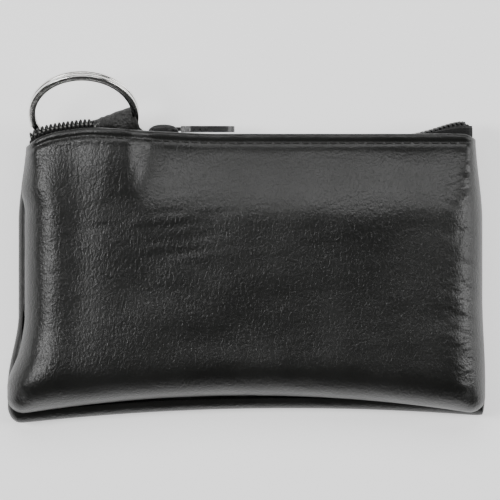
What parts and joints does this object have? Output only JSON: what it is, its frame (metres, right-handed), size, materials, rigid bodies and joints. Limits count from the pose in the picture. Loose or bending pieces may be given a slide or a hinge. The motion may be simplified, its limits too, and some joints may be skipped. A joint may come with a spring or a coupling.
{
  "type": "coin purse",
  "caption": "Small zipped leather coin purse with a slider and flat pull, and a split key ring held in a leather loop.",
  "frame": {"origin": "the point of the face it rests on under the middle of the back panel, the purse lying on its back", "axes": "+X along the zip from the key ring's end, +Y from the bottom seam up to the zip, +Z out of the front panel"},
  "size_m": [0.1294, 0.095, 0.0264],
  "materials": {
    "leather": "smooth grained black leather, semi-gloss",
    "tape": "woven black zip tape",
    "nylon": "black nylon coil",
    "thread": "black sewing thread",
    "black_metal": "black enamel",
    "steel": "bright nickel plate"
  },
  "bodies": {
    "pouch": {"front_panel": "leather", "back_panel": "leather", "front_tape": "tape", "back_tape": "tape", "front_coil": "nylon", "back_coil": "nylon", "front_coil_thread": "thread", "back_coil_thread": "thread", "front_topstitch": "thread", "back_topstitch": "thread", "seam_thread": "thread", "key_tab": "leather"},
    "slider": {"slider": "black_metal"},
    "pull": {"pull": "black_metal"},
    "ring": {"key_ring": "steel"}
  },
  "joints": [
    {"name": "zip_slide", "type": "slide", "parent": "pouch", "child": "slider", "axis": [1, 0, 0], "range_m": [0, 0.062], "deforming": ["front_coil", "back_coil", "front_tape", "back_tape", "front_coil_thread", "back_coil_thread"]},
    {"name": "pull_hinge", "type": "hinge", "parent": "slider", "child": "pull", "pos_m": [-0.022, 0.03915, 0.0095], "axis": [0, 0, 1], "range_deg": [0, 120]},
    {"name": "ring_hinge", "type": "hinge", "parent": "pouch", "child": "ring", "pos_m": [-0.03676, 0.03719, 0.00919], "axis": [0.7547, 0.4639, 0.4639], "range_deg": [-8, 0]}
  ]
}
